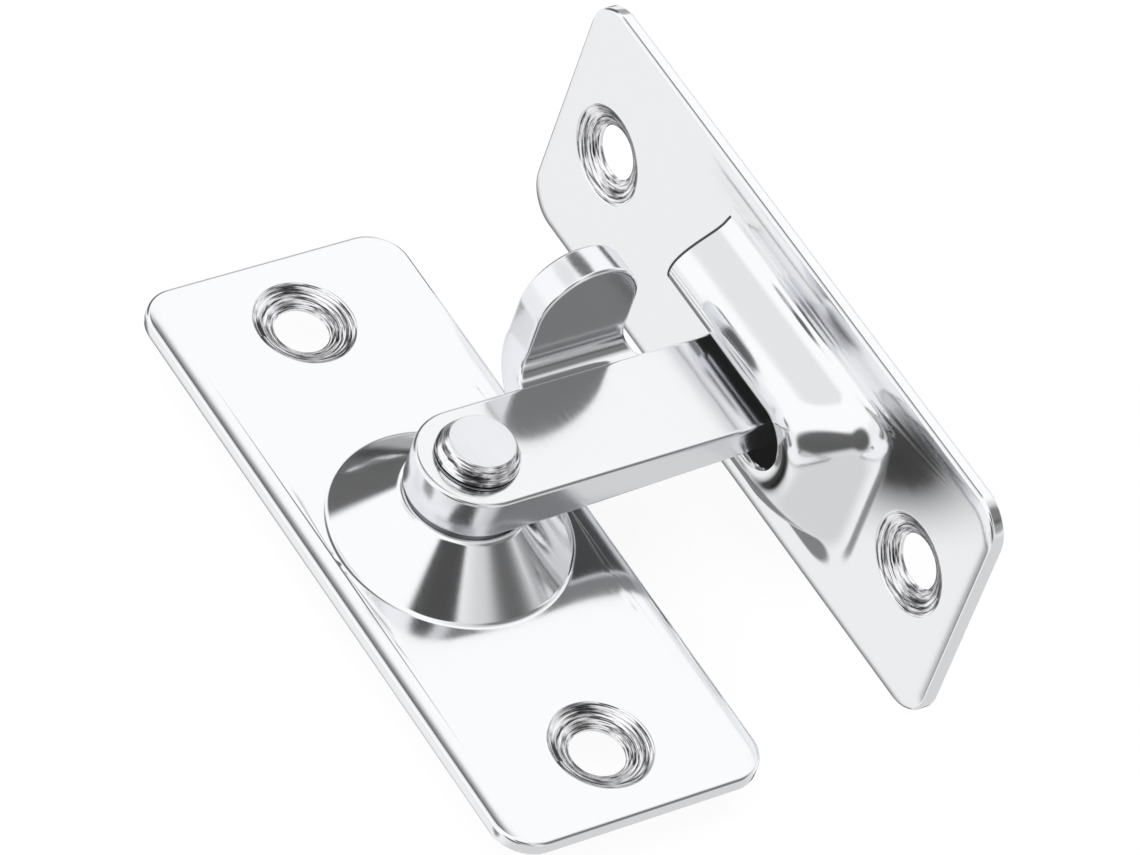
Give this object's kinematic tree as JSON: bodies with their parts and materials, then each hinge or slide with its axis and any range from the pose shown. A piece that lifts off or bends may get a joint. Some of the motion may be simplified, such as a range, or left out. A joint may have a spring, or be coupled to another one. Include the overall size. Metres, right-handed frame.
{
  "type": "toggle bolt latch",
  "caption": "Right-angle latch: a flat bolt with a thumb tab turns on a rivet above a screw plate and swings into a pressed hood on a second screw plate standing square to it.",
  "frame": {"origin": "on the pivot axis in the plane of the base plate's back face, midway between its two screw holes", "axes": "+Z along the pivot axis, out of the base plate; +X from the pivot to the keeper plate; +Y towards the side that the bolt swings out to"},
  "size_m": [0.05, 0.074, 0.029],
  "materials": {
    "base_steel": "stainless steel sheet, pressed and mirror polished",
    "bolt_steel": "stainless steel bar, mirror polished, edges eased",
    "rivet_steel": "turned stainless steel with fine tool rings",
    "washer_steel": "plain spring steel",
    "keeper_steel": "stainless steel sheet, pressed and mirror polished"
  },
  "bodies": {
    "base": {"base_plate": "base_steel", "pivot_rivet": "rivet_steel", "friction_washer": "washer_steel", "spring_washer": "washer_steel", "keeper_plate": "keeper_steel"},
    "bolt": {"bolt": "bolt_steel"}
  },
  "joints": [
    {"name": "bolt_swing", "type": "hinge", "parent": "base", "child": "bolt", "pos_m": [0, 0, 0.00965], "axis": [0, 0, 1], "range_deg": [-4.5, 320]}
  ]
}
